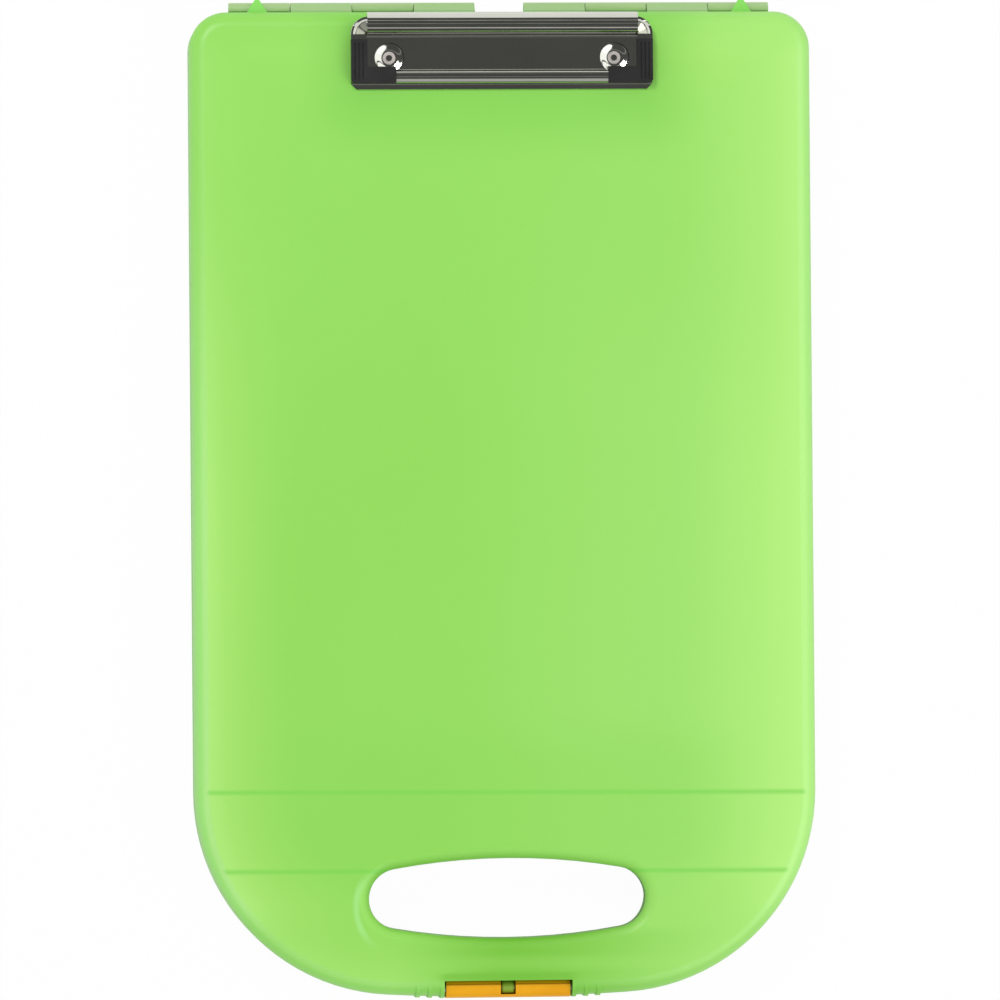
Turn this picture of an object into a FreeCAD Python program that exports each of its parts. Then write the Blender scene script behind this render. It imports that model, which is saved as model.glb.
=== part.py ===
import FreeCAD, Part

import math
import os

import Sketcher
from FreeCAD import Placement, Rotation, Vector

# Storage clipboard case: two moulded shells that hinge along the far end, with a
# carry handle, a swing latch and a sprung board clip riveted to the lid.
#
# Millimetres. The origin is the centre of the case outline on the desk. X runs from
# side to side, Y from the handle end to the hinge end, and Z up through the lid.

SIZES = (
    # Case outline, seen from above
    ("case_width", 254.0),
    ("case_length", 402.0),
    ("hinge_corner_radius", 15.0),
    ("handle_corner_radius", 82.5),
    ("handle_end_radius", 880.0),
    # Case section
    ("wall", 2.2),
    ("tray_floor", 2.2),
    ("lid_skin", 2.4),
    ("tray_height", 18.0),
    ("lid_height", 11.0),
    ("parting_gap", 0.2),
    ("tray_edge_chamfer", 4.0),
    ("lid_edge_round", 6.0),
    ("tongue_height", 1.4),
    ("tongue_width", 1.0),
    ("tongue_clearance", 0.2),
    # Hand hole
    ("hole_length", 113.0),
    ("hole_width", 32.4),
    ("hole_end_radius", 12.3),
    ("hole_setback", 40.3),
    ("hole_edge_round", 4.6),
    ("hole_edge_chamfer", 3.0),
    ("tray_hole_outset", 1.5),
    # Dividers, measured from the handle end to their middles
    ("divider_wall", 2.0),
    ("pen_divider_setback", 51.7),
    ("paper_divider_setback", 82.7),
    # Case hinge
    ("hinge_inset", 10.0),
    ("knuckle_pitch", 25.2),
    ("knuckle_pairs", 2),
    ("knuckle_clearance", 0.15),
    ("barrel_radius", 2.5),
    ("barrel_clearance", 0.3),
    ("hinge_offset", 1.7),
    ("knuckle_root_share", 0.2),
    ("hinge_pin_radius", 0.8),
    ("pin_clearance", 0.05),
    ("stop_spread", 99.2),
    ("stop_reach", 5.4),
    ("stop_root_width", 9.0),
    ("stop_tip_width", 1.5),
    ("stop_thickness", 1.5),
    ("stop_gap", 0.3),
    # Latch and its recess in the two shells
    ("latch_width", 50.7),
    ("latch_side_gap", 0.8),
    ("latch_axis_setback", 3.9),
    ("latch_axis_drop", 6.0),
    ("latch_barrel_radius", 3.4),
    ("latch_face_reach", 4.2),
    ("latch_plate", 1.6),
    ("latch_foot_height", 3.2),
    ("latch_web", 1.4),
    ("latch_running_gap", 0.4),
    ("latch_pin_radius", 1.0),
    ("latch_knuckle_radius", 2.5),
    ("latch_knuckle_width", 5.1),
    ("latch_knuckle_gap", 0.5),
    ("hook_width", 39.0),
    ("hook_reach", 1.6),
    ("hook_height", 2.4),
    ("hook_clearance", 0.3),
    ("catch_height", 8.0),
    ("catch_thickness", 2.4),
    ("catch_reach", 2.2),
    ("catch_width", 40.0),
    ("catch_slope_share", 0.5),
    ("hook_slope_share", 0.33),
    ("weld_share", 0.25),
    ("notch_depth", 6.9),
    ("tray_recess_depth", 4.6),
    ("recess_cheek", 2.0),
    ("recess_back_wall", 1.4),
    # Grip ribs beside the latch
    ("rib_first", 26.95),
    ("rib_pitch", 4.98),
    ("rib_width", 1.6),
    ("rib_height", 0.7),
    ("ribs", 3),
    # Locating tongues along the straight sides
    ("side_tongue_start", 96.0),
    ("side_tongue_end", 176.0),
    # Board clip: places on the lid
    ("clip_setback", 32.0),
    ("sheet_metal", 0.8),
    ("clip_rest_gap", 0.3),
    ("clip_half_width", 61.6),
    ("clip_corner_cut", 2.2),
    # Jaw section, measured back from the clip's front edge and up from the lid
    ("jaw_rise", 2.7),
    ("bead_shoulder", 4.3),
    ("bead_front", 4.5),
    ("bead_top", 5.2),
    ("bead_back", 6.4),
    ("plate_start", 7.6),
    ("plate_level", 4.0),
    ("jaw_foot_bend", 1.0),
    ("shoulder_bend", 0.6),
    ("bead_front_bend", 2.0),
    ("bead_back_bend", 1.2),
    ("plate_bend", 0.9),
    ("clip_axis_back", 26.6),
    ("clip_axis_up", 5.1),
    ("roll_radius", 4.6),
    ("roll_half_width", 55.2),
    ("roll_front_angle", 190.0),
    ("roll_back_angle", -30.0),
    ("roll_root_bend", 1.2),
    ("wing_start", 20.4),
    ("wing_bend", 22.2),
    ("wing_low", 1.2),
    ("wing_end_share", 0.6),
    ("access_hole_radius", 6.0),
    ("rivet_spread", 46.0),
    ("rivet_back", 12.7),
    # Clip base plate, pivot pin and spring
    ("base_front", 6.0),
    ("lug_spread", 53.3),
    ("lug_radius", 3.0),
    ("lug_foot_share", 1.5),
    ("lug_flank_share", 0.8),
    ("lug_shoulder_share", 0.5),
    ("pivot_pin_radius", 1.25),
    ("pivot_pin_length", 110.8),
    ("spring_wire", 1.0),
    ("spring_coil_radius", 2.5),
    ("spring_pitch", 1.5),
    ("spring_quarter_turns", 11),
    ("spring_sides", 8),
    ("spring_leg", 6.5),
    ("spring_leg_gap", 0.15),
    ("spring_leg_bend", 1.0),
    ("spring_long_leg", 9.75),
    # Plastic grips on the clip's two front corners
    ("grip_front", 2.3),
    ("grip_front_depth", 6.7),
    ("grip_inner", 43.3),
    ("grip_side_width", 6.6),
    ("grip_back", 20.2),
    ("grip_rise", 0.8),
    ("grip_lip", 1.5),
    ("grip_seat_gap", 0.05),
    ("grip_corner_round", 1.6),
    ("groove_width", 0.6),
    ("groove_depth", 0.5),
    ("groove_pitch", 1.6),
    # Tubular rivets and their washers
    ("rivet_shank_radius", 1.8),
    ("rivet_bore_radius", 1.3),
    ("rivet_flange_radius", 2.6),
    ("rivet_flange", 0.45),
    ("rivet_fit", 0.05),
    ("washer_radius", 4.5),
    ("washer_thickness", 0.8),
    # Cutters run past the solid by this much
    ("overrun", 3.0),
    # Edges are looked for within this distance of where they should lie
    ("near", 0.01),
)

document = FreeCAD.newDocument("clipboard_case")
sheet = document.addObject("Spreadsheet::Sheet", "sizes")
for row, (alias, value) in enumerate(SIZES, 1):
    sheet.set(f"A{row}", alias)
    sheet.set(f"B{row}", str(value))
    sheet.setAlias(f"B{row}", alias)
document.recompute()


class Size:
    """A length, with the expression on the sheet that gives it."""

    def __init__(self, value, text):
        self.value = value
        self.text = text

    def __add__(self, other):
        other = as_size(other)
        return Size(self.value + other.value, f"({self.text} + {other.text})")

    def __radd__(self, other):
        return as_size(other) + self

    def __sub__(self, other):
        other = as_size(other)
        return Size(self.value - other.value, f"({self.text} - {other.text})")

    def __rsub__(self, other):
        return as_size(other) - self

    def __mul__(self, other):
        other = as_size(other)
        return Size(self.value * other.value, f"({self.text} * {other.text})")

    def __rmul__(self, other):
        return as_size(other) * self

    def __truediv__(self, other):
        other = as_size(other)
        return Size(self.value / other.value, f"({self.text} / {other.text})")

    def __neg__(self):
        return Size(-self.value, f"(-1 * {self.text})")


def as_size(number):
    return number if isinstance(number, Size) else Size(float(number), str(number))


def root(size):
    return Size(math.sqrt(size.value), f"sqrt({size.text})")


def cosine(size):
    return Size(math.cos(math.radians(size.value)), f"cos({size.text})")


def sine(size):
    return Size(math.sin(math.radians(size.value)), f"sin({size.text})")


def cell(alias):
    return Size(float(sheet.get(alias)), f"sizes.{alias}")


ZERO = as_size(0)


def bind(thing, name, size):
    thing.setExpression(name, as_size(size).text)


# Sketches and features


def origin_feature(body, role):
    return next(f for f in body.Origin.OriginFeatures if f.Role == role)


def new_body(label):
    body = document.addObject("PartDesign::Body", label)
    body.Label = label
    return body


def new_sketch(body, name, plane, offset=None):
    sketch = body.newObject("Sketcher::SketchObject", name)
    sketch.AttachmentSupport = (origin_feature(body, plane), [""])
    sketch.MapMode = "FlatFace"
    if offset is not None:
        bind(sketch, "AttachmentOffset.Base.z", offset)
    return sketch


def arc_between(start, end, radius):
    """The short arc from start to end: a positive radius turns left, a negative one right."""
    chord = end - start
    side = 1 if radius > 0 else -1
    across = Vector(-chord.y, chord.x, 0).normalize() * side
    height = math.sqrt(max(radius**2 - chord.Length**2 / 4, 0))
    centre = (start + end) / 2 + across * height
    first, last = (start, end) if side > 0 else (end, start)
    angles = [math.atan2(p.y - centre.y, p.x - centre.x) for p in (first, last)]
    circle = Part.Circle(centre, Vector(0, 0, 1), abs(radius))
    return Part.ArcOfCircle(circle, angles[0], angles[1])


def add_loop(sketch, corners):
    """Adds a closed outline. Each corner is (x, y, radius of the arc to the next, or None for a line)."""
    first = sketch.GeometryCount
    count = len(corners)
    tips = []
    for index, (x, y, radius) in enumerate(corners):
        next_x, next_y, _ = corners[(index + 1) % count]
        start = Vector(x.value, y.value, 0)
        end = Vector(next_x.value, next_y.value, 0)
        if radius is None:
            sketch.addGeometry(Part.LineSegment(start, end))
            tips.append((1, 2))
        else:
            sketch.addGeometry(arc_between(start, end, radius.value))
            tips.append((1, 2) if radius.value > 0 else (2, 1))
    for index in range(count):
        after = (index + 1) % count
        here, there = first + index, first + after
        sketch.addConstraint(
            Sketcher.Constraint("Coincident", here, tips[index][1], there, tips[after][0])
        )
    for index, (x, y, radius) in enumerate(corners):
        here, tip = first + index, tips[index][0]
        for kind, size in (("DistanceX", x), ("DistanceY", y)):
            number = sketch.addConstraint(Sketcher.Constraint(kind, here, tip, size.value))
            bind(sketch, f"Constraints[{number}]", size)
        if radius is not None:
            length = radius if radius.value > 0 else -radius
            number = sketch.addConstraint(Sketcher.Constraint("Radius", here, length.value))
            bind(sketch, f"Constraints[{number}]", length)


def add_circle(sketch, x, y, radius):
    centre = Vector(x.value, y.value, 0)
    here = sketch.addGeometry(Part.Circle(centre, Vector(0, 0, 1), radius.value))
    for kind, size in (("DistanceX", x), ("DistanceY", y)):
        number = sketch.addConstraint(Sketcher.Constraint(kind, here, 3, size.value))
        bind(sketch, f"Constraints[{number}]", size)
    number = sketch.addConstraint(Sketcher.Constraint("Radius", here, radius.value))
    bind(sketch, f"Constraints[{number}]", radius)


def add_box(sketch, x_low, x_high, y_low, y_high):
    add_loop(
        sketch,
        (
            (x_low, y_low, None),
            (x_high, y_low, None),
            (x_high, y_high, None),
            (x_low, y_high, None),
        ),
    )


def add_polygon(sketch, points):
    add_loop(sketch, [(x, y, None) for x, y in points])


def add_bent_sheet(sketch, path, thickness):
    """Adds the section of a bent sheet. The path is its middle line: (x, y, bend radius or None)."""
    half = thickness / 2
    directions = []
    for (x, y, _), (next_x, next_y, _) in zip(path, path[1:]):
        run, rise = next_x - x, next_y - y
        length = root(run * run + rise * rise)
        directions.append((run / length, rise / length))
    left, right = [], []
    for index, (x, y, bend) in enumerate(path):
        before = directions[max(index - 1, 0)]
        after = directions[min(index, len(directions) - 1)]
        if bend is None:
            across = (-after[1] * half, after[0] * half)
            left.append((x + across[0], y + across[1], None))
            right.append((x - across[0], y - across[1], None))
            continue
        turn = before[0] * after[1] - before[1] * after[0]
        side = 1 if turn.value > 0 else -1
        cut = bend * turn * side / (1 + before[0] * after[0] + before[1] * after[1])
        for edge, sign, radius in (
            (left, 1, (bend - half * side) * side),
            (right, -1, (bend + half * side) * -side),
        ):
            for (way_x, way_y), along in ((before, -1), (after, 1)):
                edge.append(
                    (
                        x + way_x * cut * along - way_y * half * sign,
                        y + way_y * cut * along + way_x * half * sign,
                        radius if along * sign < 0 else None,
                    )
                )
    add_loop(sketch, left + right[::-1])


def settle(feature):
    document.recompute()
    if "Invalid" in feature.State or not feature.Shape.isValid():
        raise RuntimeError(f"{feature.Name} did not build")
    return feature


def extrude(kind, body, name, sketch, length, reverse, both_ways):
    feature = body.newObject(kind, name)
    feature.Profile = sketch
    feature.Type = "Length"
    bind(feature, "Length", length)
    feature.Reversed = reverse
    feature.Midplane = both_ways
    return settle(feature)


def pad(body, name, sketch, length, reverse=False, both_ways=False):
    return extrude("PartDesign::Pad", body, name, sketch, length, reverse, both_ways)


def pocket(body, name, sketch, length, reverse=False, both_ways=False):
    before = body.Shape.Volume
    feature = extrude("PartDesign::Pocket", body, name, sketch, length, reverse, both_ways)
    if feature.Shape.Volume >= before:
        raise RuntimeError(f"{name} cuts nothing")
    return feature


def edges_where(shape, test):
    """The names of the edges whose two ends and middle all pass the test."""
    names = []
    for index, edge in enumerate(shape.Edges, 1):
        middle = edge.valueAt((edge.FirstParameter + edge.LastParameter) / 2)
        points = [vertex.Point for vertex in edge.Vertexes] + [middle]
        if all(test(point) for point in points):
            names.append(f"Edge{index}")
    return names


def dress(kind, body, name, test, size_name, size):
    base = body.Tip
    feature = body.newObject(kind, name)
    feature.Base = (base, edges_where(base.Shape, test))
    bind(feature, size_name, size)
    return settle(feature)


def fillet(body, name, test, radius):
    return dress("PartDesign::Fillet", body, name, test, "Radius", radius)


def chamfer(body, name, test, width):
    return dress("PartDesign::Chamfer", body, name, test, "Size", width)


def along_x_and_mirror(body, name, features, pitch, count):
    """Repeats the features along X, and again on the other side of the middle plane."""
    pattern = body.newObject("PartDesign::MultiTransform", name)
    pattern.Originals = features
    row = body.newObject("PartDesign::LinearPattern", name + "_row")
    row.Direction = (origin_feature(body, "X_Axis"), [""])
    bind(row, "Length", pitch * (count - 1))
    bind(row, "Occurrences", count)
    twin = body.newObject("PartDesign::Mirrored", name + "_twin")
    twin.MirrorPlane = (origin_feature(body, "YZ_Plane"), [""])
    pattern.Transformations = [row, twin]
    body.Tip = pattern
    return settle(pattern)


def mirror_x(body, name, features):
    twin = body.newObject("PartDesign::Mirrored", name)
    twin.Originals = features
    twin.MirrorPlane = (origin_feature(body, "YZ_Plane"), [""])
    body.Tip = twin
    return settle(twin)


# Places that several pieces share

half_width = cell("case_width") / 2
hinge_end = cell("case_length") / 2
handle_end = -hinge_end
lid_bottom = cell("tray_height") + cell("parting_gap")
lid_top = lid_bottom + cell("lid_height")
hinge_axis_y = hinge_end + cell("hinge_offset")
hinge_axis_z = cell("tray_height") + cell("parting_gap") / 2
overrun = cell("overrun")
near = cell("near").value

# The handle end is a large arc between two corner arcs that it meets smoothly.
corner_centre_x = half_width - cell("handle_corner_radius")
radius_step = cell("handle_end_radius") - cell("handle_corner_radius")
centre_rise = root(radius_step * radius_step - corner_centre_x * corner_centre_x)
end_centre_y = handle_end + cell("handle_end_radius")
corner_centre_y = end_centre_y - centre_rise


def corner_arc_x(y, inset):
    """How far out the handle corner's arc is at height y, drawn in by inset."""
    radius = cell("handle_corner_radius") - inset
    drop = y - corner_centre_y
    return corner_centre_x + root(radius * radius - drop * drop)


def handle_end_corners(inset):
    """The points where the side, corner arc and end arc meet, on the right-hand side."""
    share = (cell("handle_end_radius") - inset) / radius_step
    tangent_x = corner_centre_x * share
    tangent_y = end_centre_y - centre_rise * share
    return tangent_x, tangent_y


def case_outline(sketch, inset=ZERO):
    """The whole case from above, drawn in by inset."""
    side = half_width - inset
    far = hinge_end - inset
    top_radius = cell("hinge_corner_radius") - inset
    corner_radius = cell("handle_corner_radius") - inset
    end_radius = cell("handle_end_radius") - inset
    tangent_x, tangent_y = handle_end_corners(inset)
    add_loop(
        sketch,
        (
            (side, corner_centre_y, None),
            (side, far - top_radius, top_radius),
            (side - top_radius, far, None),
            (top_radius - side, far, top_radius),
            (-side, far - top_radius, None),
            (-side, corner_centre_y, corner_radius),
            (-tangent_x, tangent_y, end_radius),
            (tangent_x, tangent_y, corner_radius),
        ),
    )


def paper_bay(sketch):
    """The hollow that holds the paper."""
    side = half_width - cell("wall")
    far = hinge_end - cell("wall")
    near = handle_end + cell("paper_divider_setback") + cell("divider_wall") / 2
    radius = cell("hinge_corner_radius") - cell("wall")
    add_loop(
        sketch,
        (
            (side, near, None),
            (side, far - radius, radius),
            (side - radius, far, None),
            (radius - side, far, radius),
            (-side, far - radius, None),
            (-side, near, None),
        ),
    )


def pen_bay(sketch):
    """The narrow hollow between the two dividers."""
    radius = cell("handle_corner_radius") - cell("wall")
    far = handle_end + cell("paper_divider_setback") - cell("divider_wall") / 2
    near = handle_end + cell("pen_divider_setback") + cell("divider_wall") / 2
    far_x = corner_arc_x(far, cell("wall"))
    near_x = corner_arc_x(near, cell("wall"))
    add_loop(
        sketch,
        (
            (near_x, near, radius),
            (far_x, far, None),
            (-far_x, far, radius),
            (-near_x, near, None),
        ),
    )


def handle_bay(sketch, block_depth):
    """The hollow round the hand hole, which the block behind the latch interrupts."""
    inset = cell("wall")
    radius = cell("handle_corner_radius") - inset
    end_radius = cell("handle_end_radius") - inset
    far = handle_end + cell("pen_divider_setback") - cell("divider_wall") / 2
    far_x = corner_arc_x(far, inset)
    tangent_x, tangent_y = handle_end_corners(inset)
    block_y = handle_end + block_depth
    block_foot = end_centre_y - root(end_radius * end_radius - block_half_width * block_half_width)
    add_loop(
        sketch,
        (
            (far_x, far, None),
            (-far_x, far, radius),
            (-tangent_x, tangent_y, end_radius),
            (-block_half_width, block_foot, None),
            (-block_half_width, block_y, None),
            (block_half_width, block_y, None),
            (block_half_width, block_foot, end_radius),
            (tangent_x, tangent_y, radius),
        ),
    )


def hand_hole(sketch, outset=ZERO):
    """The hand hole, or the wall round it: two end arcs joined by two long shallow arcs."""
    half_length = cell("hole_length") / 2
    half_height = cell("hole_width") / 2
    small = cell("hole_end_radius")
    reach = half_length - small
    # The long arc touches the end arc where both centres line up.
    large = (reach * reach + half_height * half_height - small * small) / (
        2 * (half_height - small)
    )
    share = (large + outset) / (large - small)
    touch_x = reach * share
    touch_y = (large - half_height) * share - (large - half_height)
    middle_y = handle_end + cell("hole_setback")
    far_x = half_length + outset
    add_loop(
        sketch,
        (
            (far_x, middle_y, small + outset),
            (touch_x, middle_y + touch_y, large + outset),
            (-touch_x, middle_y + touch_y, small + outset),
            (-far_x, middle_y, small + outset),
            (-touch_x, middle_y - touch_y, large + outset),
            (touch_x, middle_y - touch_y, small + outset),
        ),
    )


def shell_block(body, name, bottom, height, soften, edge, hole_edge, skin, block_depth, opens_up):
    """A moulded shell: outline, softened outer edge, three bays and the wall round the hand hole."""
    top = bottom + height
    # The tray's wall round the hole stands back from the lid's.
    outset = cell("tray_hole_outset") if opens_up else ZERO
    outer_z = (bottom if opens_up else top).value
    outline = new_sketch(body, name + "_outline", "XY_Plane", bottom)
    case_outline(outline)
    pad(body, name + "_block", outline, height)
    soften(body, name + "_outer_edge", lambda p: abs(p.z - outer_z) < near, edge)
    bays = new_sketch(body, name + "_bays", "XY_Plane", top if opens_up else bottom)
    paper_bay(bays)
    pen_bay(bays)
    handle_bay(bays, block_depth)
    pocket(body, name + "_hollow", bays, height - skin, reverse=not opens_up)
    boss = new_sketch(body, name + "_hole_boss", "XY_Plane", bottom + skin / 2 if opens_up else bottom)
    hand_hole(boss, cell("wall") + outset)
    pad(body, name + "_hole_wall", boss, height - skin / 2)
    hole = new_sketch(body, name + "_hole", "XY_Plane", bottom - overrun)
    hand_hole(hole, outset)
    pocket(body, name + "_hand_hole", hole, height + 2 * overrun, reverse=True)
    reach = (cell("hole_length") / 2 + outset).value + near
    middle = (handle_end + cell("hole_setback")).value
    half_height = (cell("hole_width") / 2 + outset).value + near

    def on_hole_rim(p):
        return abs(p.z - outer_z) < near and abs(p.x) < reach and abs(p.y - middle) < half_height

    soften(body, name + "_hole_edge", on_hole_rim, hole_edge)


def rod(body, name, start, length, y, z, radius):
    """A round bar along X."""
    sketch = new_sketch(body, name + "_circle", "YZ_Plane", start)
    add_circle(sketch, y, z, radius)
    return pad(body, name, sketch, length)


def bore(body, name, start, length, y, z, radius):
    """A round hole along X."""
    sketch = new_sketch(body, name + "_circle", "YZ_Plane", start)
    add_circle(sketch, y, z, radius)
    return pocket(body, name, sketch, length, reverse=True)


def across_x(body, name, points, width, cut=False):
    """A section in the YZ plane, spread evenly to both sides."""
    sketch = new_sketch(body, name + "_section", "YZ_Plane")
    add_polygon(sketch, points)
    if cut:
        return pocket(body, name, sketch, width, both_ways=True)
    return pad(body, name, sketch, width, both_ways=True)


def stop_slots(body, name):
    """Opens the outer webs below the barrel, where the other shell's stop fingers swing in."""
    width = cell("stop_root_width") + 2 * cell("barrel_clearance")
    start = cell("stop_spread") - width / 2
    sweep = cell("barrel_radius") + cell("barrel_clearance") + cell("stop_thickness") + cell("stop_reach")
    plan = new_sketch(body, name + "_slot_section", "YZ_Plane", start)
    add_box(plan, hinge_end, hinge_axis_y + sweep, hinge_axis_z - sweep, hinge_axis_z)
    slot = pocket(body, name + "_slot", plan, width, reverse=True)
    bar = rod(body, name + "_slot_barrel", start, width, hinge_axis_y, hinge_axis_z, cell("barrel_radius"))
    mirror_x(body, name + "_slots", [slot, bar])


def hinge_knuckles(body, name, own, up):
    """Clears the wall for the other shell's knuckles, then adds this shell's own."""
    gap = cell("knuckle_clearance")
    pitch = cell("knuckle_pitch")
    pairs = cell("knuckle_pairs")
    radius = cell("barrel_radius")
    inner = cell("hinge_inset")
    other_start = inner + (1 - own) * pitch - gap
    relief = new_sketch(body, name + "_relief_circle", "YZ_Plane", other_start)
    add_circle(relief, hinge_axis_y, hinge_axis_z, radius + cell("barrel_clearance"))
    cut = pocket(body, name + "_relief", relief, pitch + 2 * gap, reverse=True)
    along_x_and_mirror(body, name + "_reliefs", [cut], 2 * pitch, pairs)
    side = 1 if up else -1
    slant = radius / root(as_size(2))
    root_y = hinge_end - cell("wall") * cell("knuckle_root_share")
    # The gusset leaves the barrel at half a right angle and runs to the wall.
    drop = slant * 2 + (hinge_axis_y - root_y)
    knuckle = new_sketch(body, name + "_gusset", "YZ_Plane", inner + own * pitch + gap)
    add_polygon(
        knuckle,
        (
            (root_y, hinge_axis_z),
            (hinge_axis_y, hinge_axis_z),
            (hinge_axis_y + slant, hinge_axis_z + slant * side),
            (root_y, hinge_axis_z + drop * side),
        ),
    )
    web = pad(body, name + "_web", knuckle, pitch - 2 * gap)
    start = inner + own * pitch + gap
    barrel = rod(body, name + "_barrel", start, pitch - 2 * gap, hinge_axis_y, hinge_axis_z, radius)
    along_x_and_mirror(body, name + "_knuckles", [web, barrel], 2 * pitch, pairs)
    if not up:
        stop_slots(body, name)
    reach = 2 * pitch * pairs + 2 * overrun
    radius = cell("hinge_pin_radius") + cell("pin_clearance")
    hole = bore(body, name + "_pin_hole", inner - overrun, reach, hinge_axis_y, hinge_axis_z, radius)
    mirror_x(body, name + "_pin_holes", [hole])


def grip_ribs(body, name, bottom, height, edge, skin, opens_up):
    """Upright ribs on each side of the latch, which run out over the softened edge."""
    low, high = bottom, bottom + height
    ribs = []
    for number in range(int(cell("ribs").value)):
        x = cell("rib_first") + number * cell("rib_pitch")
        radius = cell("handle_end_radius")
        face_y = end_centre_y - root(radius * radius - x * x)
        out_y = face_y - cell("rib_height")
        in_y = face_y + cell("wall") / 2
        sketch = new_sketch(body, f"{name}_rib_{number}_section", "YZ_Plane", x - cell("rib_width") / 2)
        if opens_up:
            corners = (
                (out_y, high, None),
                (out_y, low + edge, None),
                (out_y + edge, low, None),
                (face_y + edge, low + skin / 2, None),
                (in_y, low + edge, None),
                (in_y, high, None),
            )
        else:
            corners = (
                (out_y, low, None),
                (in_y, low, None),
                (in_y, high - edge, None),
                (face_y + edge, high - skin / 2, None),
                (out_y + edge, high, edge),
                (out_y, high - edge, None),
            )
        add_loop(sketch, corners)
        ribs.append(pad(body, f"{name}_rib_{number}", sketch, cell("rib_width")))
    mirror_x(body, name + "_ribs", ribs)


# Latch places

latch_y = handle_end + cell("latch_axis_setback")
latch_z = lid_top - cell("latch_axis_drop")
latch_half = cell("latch_width") / 2
recess_half_width = latch_half + cell("latch_side_gap")
block_half_width = recess_half_width + cell("recess_cheek")
latch_sweep = cell("latch_face_reach") + cell("latch_running_gap")

# Tray shell

tray = new_body("tray_shell")
tray_block_depth = cell("tray_recess_depth") + cell("wall")
shell_block(
    tray,
    "tray",
    ZERO,
    cell("tray_height"),
    chamfer,
    cell("tray_edge_chamfer"),
    cell("hole_edge_chamfer"),
    cell("tray_floor"),
    tray_block_depth,
    True,
)
hinge_knuckles(tray, "tray_hinge", 1, False)
grip_ribs(tray, "tray", ZERO, cell("tray_height"), cell("tray_edge_chamfer"), cell("tray_floor"), True)
recess = new_sketch(tray, "tray_recess_plan", "XY_Plane", -overrun)
add_box(
    recess,
    -recess_half_width,
    recess_half_width,
    handle_end - overrun,
    handle_end + cell("tray_recess_depth"),
)
pocket(tray, "tray_latch_recess", recess, cell("tray_height") + 2 * overrun, reverse=True)
catch_y = handle_end + cell("tray_recess_depth")
catch_root_y = catch_y + cell("wall") * cell("weld_share")
catch_top = cell("catch_height") + cell("catch_thickness")
across_x(
    tray,
    "latch_catch",
    (
        (catch_root_y, cell("catch_height")),
        (catch_root_y, catch_top),
        (catch_y - cell("catch_reach") * cell("catch_slope_share"), catch_top),
        (catch_y - cell("catch_reach"), catch_top - cell("catch_thickness") * cell("catch_slope_share")),
        (catch_y - cell("catch_reach"), cell("catch_height")),
    ),
    cell("catch_width"),
)
tongue = new_sketch(tray, "side_tongue_plan", "XY_Plane", cell("tray_height") - cell("tray_floor") / 2)
tongue_in = half_width - cell("wall")
add_box(
    tongue,
    tongue_in,
    tongue_in + cell("tongue_width"),
    -cell("side_tongue_start"),
    cell("side_tongue_end"),
)
strip = pad(tray, "side_tongue", tongue, cell("tongue_height") + cell("tray_floor") / 2)
mirror_x(tray, "side_tongues", [strip])

# Lid shell

lid = new_body("lid_shell")
lid_block_depth = cell("latch_axis_setback") + latch_sweep + cell("recess_back_wall")
shell_block(
    lid,
    "lid",
    lid_bottom,
    cell("lid_height"),
    fillet,
    cell("lid_edge_round"),
    cell("hole_edge_round"),
    cell("lid_skin"),
    lid_block_depth,
    False,
)
groove = new_sketch(lid, "side_groove_plan", "XY_Plane", lid_bottom - overrun)
add_box(
    groove,
    tongue_in - overrun,
    tongue_in + cell("tongue_width") + cell("tongue_clearance"),
    -cell("side_tongue_start") - 2 * cell("tongue_clearance"),
    cell("side_tongue_end") + 2 * cell("tongue_clearance"),
)
strip = pocket(
    lid,
    "side_groove",
    groove,
    overrun + cell("tongue_height") + cell("tongue_clearance"),
    reverse=True,
)
mirror_x(lid, "side_grooves", [strip])

# The stop fingers pass over the tray's outer knuckles, and meet its end wall when the lid
# has swung open.
finger_middle = cell("stop_spread")
finger_root_y = hinge_end - cell("wall") * cell("knuckle_root_share")
finger = new_sketch(lid, "stop_finger_plan", "XY_Plane", hinge_axis_z)
add_polygon(
    finger,
    (
        (finger_middle - cell("stop_root_width") / 2, finger_root_y),
        (finger_middle + cell("stop_root_width") / 2, finger_root_y),
        (finger_middle + cell("stop_tip_width") / 2, hinge_end + cell("stop_reach")),
        (finger_middle - cell("stop_tip_width") / 2, hinge_end + cell("stop_reach")),
    ),
)
rise = cell("barrel_radius") + cell("barrel_clearance") + cell("stop_thickness")
finger_block = pad(lid, "stop_finger", finger, rise)
under = new_sketch(
    lid, "stop_underside_section", "YZ_Plane", finger_middle - cell("stop_root_width")
)
# The slope turns upright with the open lid and then stands just off the wall.
meet = cell("barrel_radius")
slip = root(as_size(2)) * (cell("hinge_offset") - cell("stop_gap"))
add_polygon(
    under,
    (
        (hinge_axis_y + meet, hinge_axis_z - overrun),
        (hinge_axis_y + meet + overrun, hinge_axis_z - overrun),
        (hinge_axis_y + meet + overrun, hinge_axis_z + meet - slip + overrun),
        (hinge_axis_y + meet, hinge_axis_z + meet - slip),
    ),
)
finger_cut = pocket(
    lid, "stop_underside", under, 2 * cell("stop_root_width"), reverse=True
)
mirror_x(lid, "stop_fingers", [finger_block, finger_cut])
hinge_knuckles(lid, "lid_hinge", 0, True)
grip_ribs(lid, "lid", lid_bottom, cell("lid_height"), cell("lid_edge_round"), cell("lid_skin"), False)
notch = new_sketch(lid, "lid_notch_plan", "XY_Plane", lid_bottom - overrun)
add_box(
    notch,
    -recess_half_width,
    recess_half_width,
    handle_end - overrun,
    handle_end + cell("notch_depth"),
)
pocket(lid, "lid_latch_notch", notch, cell("lid_height") + 2 * overrun, reverse=True)
bore(
    lid,
    "latch_barrel_room",
    -recess_half_width,
    2 * recess_half_width,
    latch_y,
    latch_z,
    latch_sweep,
)
knuckle_half = cell("latch_knuckle_width") / 2
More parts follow.
